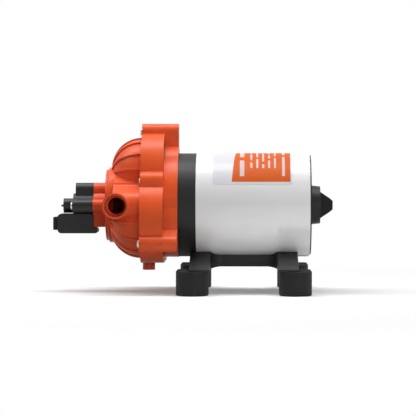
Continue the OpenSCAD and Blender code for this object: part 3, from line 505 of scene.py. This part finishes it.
def make_finishes():
    """One material for each of the record's slots, with its maker, colour and looks."""
    colours = bpy.context.scene.pump_colours
    # The edge paling number in each entry stands for wear and for a painted edge highlight
    finishes = {
        "orange_plastic": (moulded, colours.housing,
                           {"rough": 0.37, "grain": 2600.0, "wear_and_highlight": 0.35, "gloss": 0.3}),
        "black_plastic": (moulded, colours.black_plastic,
                          {"rough": 0.5, "grain": 1900.0, "wear_and_highlight": 0.35, "gloss": 0.35}),
        "black_switch_plastic": (moulded, colours.black_plastic,
                                 {"rough": 0.44, "grain": 2400.0, "wear_and_highlight": 0.3, "gloss": 0.4}),
        "black_rubber": (moulded, colours.rubber,
                         {"rough": 0.66, "grain": 1500.0, "wear_and_highlight": 0.25, "gloss": 0.3}),
        "ivory_plastic": (moulded, (0.66, 0.60, 0.46),
                          {"rough": 0.42, "grain": 2000.0, "wear_and_highlight": 0.2}),
        "red_plastic": (moulded, (0.45, 0.03, 0.02),
                        {"rough": 0.4, "grain": 2000.0, "wear_and_highlight": 0.2}),
        "brown_board": (moulded, (0.13, 0.055, 0.022),
                        {"rough": 0.6, "grain": 1600.0, "wear_and_highlight": 0.4}),
        "carbon": (moulded, (0.022, 0.022, 0.023),
                   {"rough": 0.7, "grain": 3200.0, "wear_and_highlight": 0.5}),
        "magnet": (moulded, (0.045, 0.045, 0.048),
                   {"rough": 0.62, "grain": 1400.0, "wear_and_highlight": 0.6}),
        "white_paint": (painted, colours.paint, {}),
        "steel": (metal, colours.steel, {"rough": 0.3, "stretch": (0.1, 1.0, 1.0)}),
        "black_steel": (metal, (0.05, 0.05, 0.052), {"rough": 0.42}),
        "brass": (metal, (0.72, 0.47, 0.17), {"rough": 0.3}),
        "copper": (wound, (0.62, 0.22, 0.09), {"inner": COPPER_START}),
    }
    return {slot: make(slot, tint, **looks) for slot, (make, tint, looks) in finishes.items()}


def finish_of(slot):
    """The material of a slot. All are made when the first is asked for."""
    if not FINISHES:
        FINISHES.update(make_finishes())
    return FINISHES[slot]


def dress_nodes(names):
    """Gives CAD nodes the finish that the record names for them."""
    for name in names:
        mesh = frame["nodes"][name].data
        mesh.materials.clear()
        mesh.materials.append(finish_of(SLOT_OF[name]))


def mesh_from(shape, name, crease=None):
    """Mesh of a shape, shaded smooth all but the edges sharper than crease, if that is given."""
    mesh = bpy.data.meshes.new(name)
    shape.to_mesh(mesh)
    shape.free()
    if crease is not None:
        mesh.shade_smooth()
        mesh.set_sharp_from_angle(angle=crease)
    return mesh


def add_object(name, mesh, material, body):
    """Puts a finished mesh in the scene as a piece that rides on a body, if one is named."""
    mesh.materials.clear()
    mesh.materials.append(material)
    made = bpy.data.objects.new(name, mesh)
    bpy.context.scene.collection.objects.link(made)
    if body:
        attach(made, body)
    return made


def stand_in(node, mesh):
    """Puts a steel mesh on the pump's body in place of a CAD node."""
    made = add_object(node + "_seen", mesh, finish_of("steel"), "pump_body")
    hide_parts(node)


def lathe(shape, profile, steps):
    """Turns a profile of (place along X, radius) points about X into closed rings of faces."""
    rings = []
    for along, radius in profile:
        if radius == 0:
            rings.append([shape.verts.new((along, 0, 0))])
            continue
        turns = [2 * math.pi * k / steps for k in range(steps)]
        rings.append([shape.verts.new((along, radius * math.cos(t), radius * math.sin(t)))
                      for t in turns])
    for first, second in zip(rings, rings[1:]):
        for k in range(steps):
            after = (k + 1) % steps
            corners = [first[k % len(first)], first[after % len(first)],
                       second[after % len(second)], second[k % len(second)]]
            unique = [v for i, v in enumerate(corners) if v not in corners[:i]]
            shape.faces.new(unique)
    bmesh.ops.recalc_face_normals(shape, faces=shape.faces)


def join_rings(shape, rings):
    """Faces from each ring of points to the next."""
    for first, second in zip(rings, rings[1:]):
        for k in range(len(first)):
            after = (k + 1) % len(first)
            shape.faces.new((first[k], first[after], second[after], second[k]))


def closed_tube(shape, rings):
    """Faces along rings of points and over both ends."""
    join_rings(shape, rings)
    shape.faces.new(rings[0])
    shape.faces.new(rings[-1])
    bmesh.ops.recalc_face_normals(shape, faces=shape.faces)


def cross_outline(width, arm):
    """Corners of a cross whose arms are width long in all and arm wide."""
    w, a = width / 2, arm / 2
    quarter = [(w, -a), (w, a), (a, a)]
    turned = []
    for k in range(4):
        c, s = round(math.cos(k * math.pi / 2)), round(math.sin(k * math.pi / 2))
        turned += [(c * y - s * z, s * y + c * z) for y, z in quarter]
    return turned


def cross_cutter(screw):
    """Tapered cross that cuts the recess of a screw head whose front is at X = 0."""
    sizes = bpy.context.scene.pump_sizes
    width = 2 * screw.head * sizes.recess_width
    depth = screw.height * sizes.recess_depth
    shape = bmesh.new()
    rings = []
    # Each ring's place along the cutter, and its width as a share
    for along, share in ((-RECESS_START, 1.06), (0.0, 1.0), (depth * 0.8, 0.62), (depth, 0.3)):
        outline = cross_outline(width * share, width * RECESS_ARM * (0.5 + share / 2))
        rings.append([shape.verts.new((along, y, z)) for y, z in outline])
    closed_tube(shape, rings)
    return mesh_from(shape, "recess")


def screw_mesh(screw, length):
    """A pan-head screw along +X with its front at X = 0, a cross recess and a thread."""
    shank = screw.shank
    profile = [(along * screw.height, out * screw.head) for along, out in PAN_HEAD]
    pitch = shank * THREAD_PITCH
    turns = int((length - screw.height) * THREADED / pitch)
    start = length - turns * pitch - shank * POINT_LENGTH
    profile += [(screw.height, shank), (start, shank)]
    for k in range(turns):
        profile += [(start + (k + 0.5) * pitch, shank * THREAD_ROOT),
                    (start + (k + 1) * pitch, shank)]
    profile += [(length, shank * POINT_RADIUS), (length, 0.0)]
    shape = bmesh.new()
    lathe(shape, profile, bpy.context.scene.pump_sizes.round_steps)
    blank = bpy.data.objects.new("screw_blank", mesh_from(shape, "screw"))
    cutter = bpy.data.objects.new("recess_blank", cross_cutter(screw))
    for piece in (blank, cutter):
        bpy.context.scene.collection.objects.link(piece)
    cut = blank.modifiers.new("recess", "BOOLEAN")
    cut.object = cutter
    cut.solver = "EXACT"
    cut.operation = "DIFFERENCE"
    seen = bpy.context.evaluated_depsgraph_get()
    made = bpy.data.meshes.new_from_object(blank.evaluated_get(seen))
    for piece in (blank, cutter):
        bpy.data.meshes.remove(piece.data)  # the object goes with its mesh
    return made


def screw_set(name, places, way=Matrix.Identity(4)):
    """Screws in one mesh, turned by way. A place is (screw, X, Y, Z, turn of the recess)."""
    shape = bmesh.new()
    for screw, x, y, z, turn in places:
        piece = screw.copy()
        piece.transform(Matrix.Translation((x, y, z)) @ way @ Matrix.Rotation(turn, 4, "X"))
        shape.from_mesh(piece)
        bpy.data.meshes.remove(piece)
    return mesh_from(shape, name, SCREW_CREASE)


def coil_mesh(name, length, radius, turns, first=0.0, last=1.0):
    """Wire of a coil spring along +X from 0, or the part between two shares of its turns."""
    thick = bpy.context.scene.pump_sizes.spring_wire
    closed = thick * CLOSED_TURN
    open_pitch = (length - thick - 2 * closed) / (turns - 2)
    shape = bmesh.new()
    rings = []
    count = round(turns * COIL_STEPS * (last - first))
    for k in range(count + 1):
        turn = turns * (first + (last - first) * k / count)
        x = thick / 2 + closed * (min(turn, 1) + max(turn - turns + 1, 0))
        x += open_pitch * min(max(turn - 1, 0), turns - 2)
        c, s = math.cos(2 * math.pi * turn), math.sin(2 * math.pi * turn)
        ring = []
        for j in range(WIRE_STEPS):
            tilt = 2 * math.pi * j / WIRE_STEPS
            reach = radius - thick / 2 + thick / 2 * math.cos(tilt)
            ring.append(shape.verts.new((x + thick / 2 * math.sin(tilt), reach * c, reach * s)))
        rings.append(ring)
    closed_tube(shape, rings)
    return mesh_from(shape, name, ROUND_CREASE)


class PUMP_OT_housing(bpy.types.Operator):
    """Orange moulded finish on the two halves of the head"""

    bl_idname = "pump.housing"
    bl_label = "Finish the housing"

    def execute(self, context):
        dress_nodes(["upper_housing", "lower_housing"])
        return {"FINISHED"}


class PUMP_OT_valves(bpy.types.Operator):
    """Valve plate, valves, seals, diaphragm and pistons inside the head"""

    bl_idname = "pump.valves"
    bl_label = "Finish the valves and diaphragm"

    def execute(self, context):
        dress_nodes(["valve_plate", "inlet_valves", "outlet_valve", "outlet_seal", "diaphragm",
                     "pistons", "piston_screws"])
        return {"FINISHED"}


class PUMP_OT_wobble_drive(bpy.types.Operator):
    """Wobble plate with its bearing and the eccentric hub"""

    bl_idname = "pump.wobble_drive"
    bl_label = "Finish the wobble drive"

    def execute(self, context):
        dress_nodes(["wobble_plate", "wobble_bearing", "eccentric_hub", "hub_set_screw"])
        return {"FINISHED"}


class PUMP_OT_switch(bpy.types.Operator):
    """Pressure switch with its cover, spring, micro-switch and lead grommet"""

    bl_idname = "pump.pressure_switch"
    bl_label = "Finish the pressure switch"

    def execute(self, context):
        dress_nodes(["switch_diaphragm", "switch_plunger", "switch_spring", "spring_seat",
                     "adjuster_screw", "switch_cover", "switch_screws", "microswitch_case",
                     "microswitch_body", "microswitch_button", "switch_terminals", "lead_grommet"])
        return {"FINISHED"}


class PUMP_OT_motor(bpy.types.Operator):
    """Motor can, its ends and what turns inside it"""

    bl_idname = "pump.motor"
    bl_label = "Finish the motor"

    def execute(self, context):
        dress_nodes(["adapter_ring", "front_bearing", "motor_can", "magnets", "armature_core",
                     "armature_windings", "commutator", "motor_shaft", "rear_bearing",
                     "brush_plate", "brushes", "brush_springs", "end_cap", "cable_boot",
                     "through_bolts"])
        return {"FINISHED"}


class PUMP_OT_base(bpy.types.Operator):
    """Saddle, its screws and the four rubber feet"""

    bl_idname = "pump.base"
    bl_label = "Finish the base"

    def execute(self, context):
        dress_nodes(["base_saddle", "base_screws", "foot_front_left", "foot_front_right",
                     "foot_rear_left", "foot_rear_right"])
        return {"FINISHED"}


class PUMP_OT_screws(bpy.types.Operator):
    """Screws and bolts of the housing, switch, motor and base, with cross recesses and threads"""

    bl_idname = "pump.screws"
    bl_label = "Make the screws"

    def housing_screws(self, node, angles, turns):
        """Screws round the motor's axis. Angles start at +Y and turn to +Z."""
        low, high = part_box(node)
        reach = max(abs(math.sin(math.radians(a))) for a in angles)
        outer = max(high.z - MOTOR_AXIS, MOTOR_AXIS - low.z)
        pitch = (outer - HOUSING_SCREW.head) / reach
        screw = screw_mesh(HOUSING_SCREW, high.x - low.x)
        places = [(screw, low.x, pitch * math.cos(math.radians(a)),
                   MOTOR_AXIS + pitch * math.sin(math.radians(a)), turn)
                  for a, turn in zip(angles, turns)]
        stand_in(node, screw_set(node, places))

    def switch_screws(self):
        """Two at the sides of the spring tower and a shorter one above it."""
        node = "switch_screws"
        low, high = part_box(node)
        height = middle("adjuster_screw", 2)
        side_pitch = high.y - SWITCH_SCREW.head
        top_pitch = high.z - SWITCH_SCREW.head - height
        top_x = low.x + TOP_SCREW_BACK
        side = screw_mesh(SWITCH_SCREW, high.x - low.x)
        top = screw_mesh(SWITCH_SCREW, high.x - top_x)
        stand_in(node, screw_set(node, [
            (side, low.x, side_pitch, height, 0.3), (side, low.x, -side_pitch, height, 0.9),
            (top, top_x, 0.0, height + top_pitch, 0.6)]))

    def through_bolts(self):
        """Two from the end cap towards the head."""
        node = "through_bolts"
        low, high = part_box(node)
        pitch = high.y - THROUGH_BOLT.head
        screw = screw_mesh(THROUGH_BOLT, high.x - low.x)
        places = [(screw, high.x, pitch, MOTOR_AXIS, 0.5),
                  (screw, high.x, -pitch, MOTOR_AXIS, 1.2)]
        stand_in(node, screw_set(node, places, Matrix.Rotation(math.pi, 4, "Z")))

    def base_screws(self):
        """Two from below, up into the motor."""
        node = "base_screws"
        low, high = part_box(node)
        head = BASE_SCREW.head
        screw = screw_mesh(BASE_SCREW, high.z - low.z)
        places = [(screw, high.x - head, 0.0, low.z, 0.3), (screw, low.x + head, 0.0, low.z, 0.8)]
        stand_in(node, screw_set(node, places, Matrix.Rotation(-math.pi / 2, 4, "Y")))

    def execute(self, context):
        self.housing_screws("tip_screws", (90, 210, 330), (0.4, 1.1, 0.2))
        self.housing_screws("waist_screws", (30, 150, 270), (0.7, 0.1, 1.3))
        self.switch_screws()
        self.through_bolts()
        self.base_screws()
        return {"FINISHED"}


class PUMP_OT_springs(bpy.types.Operator):
    """Coil springs in the pressure switch and behind the brushes"""

    bl_idname = "pump.springs"
    bl_label = "Make the springs"

    def switch_spring(self):
        """Two halves of the coil that meet in the middle."""
        low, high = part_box("switch_spring")
        centre = (low + high) / 2
        halves = [("seat_half", 0.0, 0.5, ("spring_seat", "pump_body"), (low, centre)),
                  ("plunger_half", 0.5, 1.0, ("pump_body", "switch_plunger"), (centre, high))]
        for name, first, last, bodies, ends in halves:
            mesh = coil_mesh("switch_spring_" + name, high.x - low.x, half("switch_spring", 1),
                             SWITCH_SPRING_TURNS, first, last)
            mesh.transform(Matrix.Translation((low.x, centre.y, centre.z)))
            piece = add_object(mesh.name, mesh, finish_of("steel"), None)
            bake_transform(piece)
            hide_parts("switch_spring")

    def brush_springs(self):
        """One spring above and one below the axis, each on the outer end of its brush."""
        node = "brush_springs"
        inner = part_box("brushes")[1].z - MOTOR_AXIS
        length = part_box(node)[1].z - MOTOR_AXIS - inner
        shape = bmesh.new()
        for turn in (-math.pi / 2, math.pi / 2):
            coil = coil_mesh("coil", length, half(node, 1), BRUSH_SPRING_TURNS)
            coil.transform(Matrix.Translation((middle(node, 0), 0, MOTOR_AXIS))
                           @ Matrix.Rotation(turn, 4, "Y") @ Matrix.Translation((inner, 0, 0)))
            shape.from_mesh(coil)
            bpy.data.meshes.remove(coil)
        stand_in(node, mesh_from(shape, node, ROUND_CREASE))

    def execute(self, context):
        self.switch_spring()
        self.brush_springs()
        return {"FINISHED"}


class PUMP_OT_label(bpy.types.Operator):
    """Plain label on the can: pale film with one printed block and plain dashes"""

    bl_idname = "pump.label"
    bl_label = "Make the label"

    def film(self):
        """Pale film with an orange block that has a slanted side, and plain pale dashes on it."""
        colours = bpy.context.scene.pump_colours
        material, wire = start_material("label_film")
        place = wire.node("ShaderNodeTexCoord", output="UV")
        along = wire.node("ShaderNodeSeparateXYZ", inputs={0: place}, output="X")
        around = along.twin("Y")
        slant = BLOCK_START + around * BLOCK_SLANT
        block = rise(along - slant, PRINT_SOFT) * rise(BLOCK_END - along, PRINT_SOFT)
        block = block * band(around, BLOCK_LOW, BLOCK_HIGH, PRINT_SOFTER)
        dashes = 0.0
        for centre, width, ends in LABEL_DASHES:
            row = 0.0
            for low, high in zip(ends[::2], ends[1::2]):
                row = row + band(around, low, high, PRINT_SOFT)
            dashes = dashes + row * band(along, centre - width / 2, centre + width / 2,
                                         PRINT_SOFTER)
        fibre = noise(wire, object_place(wire), scale=900.0, detail=3.0)
        paling = noise(wire, object_place(wire), scale=70.0, detail=3.0)
        paper = shades(paling, colours.label_film, 0.97, 1.03)
        ink = shades(paling, colours.label_block, 0.93, 1.06)
        printed = (dashes.clamped() * DASH_STRENGTH).mix(ink, colour(colours.label_film))
        bump = wire.node("ShaderNodeBump", inputs={
            "Strength": 0.2, "Distance": 0.00001, "Height": fibre + block})
        end_material(wire, {
            "Base Color": block.mix(paper, printed),
            "Roughness": (0.42 + (fibre - 0.5) * 0.1 + block * 0.08).clamped(),
            "Specular IOR Level": 0.15,
            "Coat Weight": ((1 - block) * 0.3).clamped(),
            "Coat Roughness": 0.05,
            "Normal": bump})
        return material

    def eased(self, x, y, width, height, corner):
        """Pulls a grid point in so that the label's corners are round."""
        cx = min(max(x, corner), width - corner)
        cy = min(max(y, corner), height - corner)
        dx, dy = x - cx, y - cy
        far = math.hypot(dx, dy)
        if far > corner:
            x, y = cx + dx * corner / far, cy + dy * corner / far
        return x, y

    def grid_lines(self, length, corner, between):
        """Places of grid lines along a length, as shares, close together at its two corners."""
        near = [corner / CORNER_STEPS * k / length for k in range(CORNER_STEPS + 1)]
        return near + list(between) + [1 - share for share in near[::-1]]

    def edge_of(self, shell):
        """Points once round the edge of a grid."""
        up = [row[-1] for row in shell[1:-1]]
        down = [row[0] for row in shell[-2:0:-1]]
        return shell[0] + up + shell[-1][::-1] + down

    def execute(self, context):
        sizes = context.scene.pump_sizes
        inner = CAN_RADIUS + LABEL_GAP
        outer = inner + sizes.label_thickness
        width = sizes.label_back - sizes.label_front
        height = (sizes.label_high - sizes.label_low) * inner
        corner = sizes.label_corner
        columns = self.grid_lines(width, corner, LABEL_COLUMNS)
        rows = self.grid_lines(height, corner, [
            corner / height + (1 - 2 * corner / height) * k / LABEL_ROWS
            for k in range(1, LABEL_ROWS)])
        shape = bmesh.new()
        layer = shape.loops.layers.uv.new("UVMap")
        shells, shares = [], {}
        for radius in (outer, inner):
            shell = []
            for v in rows:
                row = []
                for u in columns:
                    x, y = self.eased(u * width, v * height, width, height, corner)
                    angle = sizes.label_low + y / inner
                    vert = shape.verts.new((sizes.label_front + x, -radius * math.cos(angle),
                                            MOTOR_AXIS + radius * math.sin(angle)))
                    shares[vert] = (x / width, y / height)
                    row.append(vert)
                shell.append(row)
            shells.append(shell)
        for shell in shells:
            for row, after in zip(shell, shell[1:]):
                for i in range(len(row) - 1):
                    shape.faces.new((row[i], row[i + 1], after[i + 1], after[i]))
        join_rings(shape, [self.edge_of(shell) for shell in shells])
        bmesh.ops.recalc_face_normals(shape, faces=shape.faces)
        for face in shape.faces:
            for loop in face.loops:
                loop[layer].uv = shares[loop.vert]
        mesh = mesh_from(shape, "can_label", ROUND_CREASE)
        add_object("can_label", mesh, self.film(), "pump_body")
        return {"FINISHED"}


def add_aimed(name, data, place, aim):
    """Puts a camera or lamp in the scene, turned towards a point."""
    made = bpy.data.objects.new(name, data)
    made.location = place
    made.rotation_euler = (Vector(aim) - Vector(place)).to_track_quat("-Z", "Y").to_euler()
    bpy.context.scene.collection.objects.link(made)
    return made


def add_lamp(name, place, aim, size, power):
    """A flat lamp that shines towards a point."""
    lamp = bpy.data.lights.new(name, "AREA")
    lamp.shape = "RECTANGLE"
    lamp.size, lamp.size_y = size
    lamp.energy = power
    add_aimed(name, lamp, place, aim)


class PUMP_OT_studio(bpy.types.Operator):
    """Camera at the photograph's angle, soft lamps, pale floor and backdrop"""

    bl_idname = "pump.studio"
    bl_label = "Set up the studio"

    def camera(self, studio):
        """As far away and as high as the photograph's, with its field of view."""
        lens = bpy.data.cameras.new("camera")
        lens.lens = studio.lens
        lens.sensor_width = SENSOR_WIDTH
        camera = add_aimed("camera", lens, studio.camera_place, studio.camera_aim)
        bpy.context.scene.camera = camera

    def lamps(self, studio):
        """A narrow softbox that shines straight down, and a broad lamp beside the camera."""
        x, y, _ = studio.overhead_place
        add_lamp("overhead_softbox", studio.overhead_place, (x, y, 0.0), studio.overhead_size,
                 studio.overhead_power)
        add_lamp("front_softbox", studio.front_place, FRONT_AIM, studio.front_size,
                 studio.front_power)

    def floor_paper(self, studio):
        """Pale paper with the pump's shadow, which whitens away from the pump."""
        material, wire = start_material("backdrop")
        place = object_place(wire)
        paper = noise(wire, place, scale=300.0)
        rays = wire.node("ShaderNodeLightPath", output="Is Camera Ray")
        seen = (rays + rays.twin("Is Glossy Ray")).clamped()
        along = wire.node("ShaderNodeSeparateXYZ", inputs={0: place}, output="X")
        card = rise(along - studio.flag_end, studio.card_start - studio.flag_end)
        sent = card.mix(colour([studio.flag] * 3), colour([studio.card] * 3))
        pale = shades(paper, [studio.floor_seen] * 3, 0.995, 1.0)
        shader = wire.node("ShaderNodeBsdfPrincipled", inputs={
            "Base Color": seen.mix(sent, pale), "Roughness": 0.9, "Specular IOR Level": 0.0})
        glow = wire.node("ShaderNodeEmission", inputs={"Color": WHITE, "Strength": 1.0})
        away = wire.node("ShaderNodeVectorMath", {"operation": "LENGTH"}, {0: place}, "Value")
        far = rise(away - studio.shadow_near, studio.shadow_far - studio.shadow_near)
        white = far * (1 - studio.shadow_lift) + studio.shadow_lift
        lifted = wire.node("ShaderNodeMixShader", inputs={0: seen * white, 1: shader, 2: glow})
        wire.node("ShaderNodeOutputMaterial", inputs={"Surface": lifted})
        return material

    def backdrop(self, studio):
        """One sweep of floor that curves up behind the pump."""
        profile = [(SWEEP_FRONT, 0.0), (SWEEP_BACK, 0.0)]
        for degrees in range(BEND_STEP, 90 + BEND_STEP, BEND_STEP):
            a = math.radians(degrees)
            profile.append((SWEEP_BACK + SWEEP_BEND * math.sin(a),
                            SWEEP_BEND * (1 - math.cos(a))))
        profile.append((SWEEP_BACK + SWEEP_BEND, SWEEP_TOP))
        shape = bmesh.new()
        rows = [[shape.verts.new((x, y, z)) for x in (-SWEEP_SIDE, SWEEP_SIDE)]
                for y, z in profile]
        for first, second in zip(rows, rows[1:]):
            shape.faces.new((first[0], first[1], second[1], second[0]))
        mesh = mesh_from(shape, "backdrop")
        mesh.shade_smooth()
        floor = add_object("backdrop", mesh, self.floor_paper(studio), None)

    def world(self, studio):
        """White where the camera or a gloss sees it, and a softer light on the object."""
        world = bpy.data.worlds.new("studio")
        wire = empty_tree(world)
        rays = wire.node("ShaderNodeLightPath", output="Is Camera Ray")
        shown = rays + rays.twin("Is Transmission Ray")
        gloss = rays.twin("Is Glossy Ray")
        way = wire.node("ShaderNodeTexCoord", output="Generated")
        back = wire.node("ShaderNodeSeparateXYZ", inputs={0: way}, output="Y")
        bright = (back * ROOM_BEHIND + back.twin("Z") * ROOM_ABOVE + ROOM_LEVEL).clamped()
        bright = bright * (1 - studio.room) + studio.room
        strength = studio.ambient + shown * (1 - studio.ambient)
        light = wire.node("ShaderNodeBackground", inputs={
            "Color": WHITE, "Strength": strength + gloss * (bright - studio.ambient)})
        wire.node("ShaderNodeOutputWorld", inputs={"Surface": light})
        bpy.context.scene.world = world

    def execute(self, context):
        studio = context.scene.pump_studio
        self.camera(studio)
        self.backdrop(studio)
        self.world(studio)
        self.lamps(studio)
        context.scene.view_settings.view_transform = "Standard"
        return {"FINISHED"}


class PUMP_PT_sidebar(bpy.types.Panel):
    """Lists the pump's operators and settings in the 3D view's sidebar"""

    bl_idname = "PUMP_PT_sidebar"
    bl_label = "Pump"
    bl_space_type = "VIEW_3D"
    bl_region_type = "UI"
    bl_category = "Pump"

    def draw(self, context):
        for operator in OPERATORS:
            self.layout.operator(operator.bl_idname)
        for group in GROUPS:
            settings = getattr(context.scene, group)
            box = self.layout.box()
            for name in settings.__annotations__:
                box.prop(settings, name)


GROUPS = {"pump_colours": PumpColours, "pump_sizes": PumpSizes, "pump_studio": PumpStudio}
OPERATORS = (
    PUMP_OT_studio, PUMP_OT_housing, PUMP_OT_valves, PUMP_OT_wobble_drive, PUMP_OT_switch,
    PUMP_OT_motor, PUMP_OT_base, PUMP_OT_screws, PUMP_OT_springs, PUMP_OT_label)


def register():
    for name, group in GROUPS.items():
        bpy.utils.register_class(group)
        setattr(bpy.types.Scene, name, PointerProperty(type=group))
    for operator in OPERATORS:
        bpy.utils.register_class(operator)
    bpy.utils.register_class(PUMP_PT_sidebar)


def unregister():
    bpy.utils.unregister_class(PUMP_PT_sidebar)
    for operator in reversed(OPERATORS):
        bpy.utils.unregister_class(operator)
    for name, group in GROUPS.items():
        delattr(bpy.types.Scene, name)
        bpy.utils.unregister_class(group)


def main():
    """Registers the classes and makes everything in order."""
    register()
    for operator in OPERATORS:
        group, name = operator.bl_idname.split(".")
        getattr(getattr(bpy.ops, group), name)()


if __name__ == "__main__":
    main()
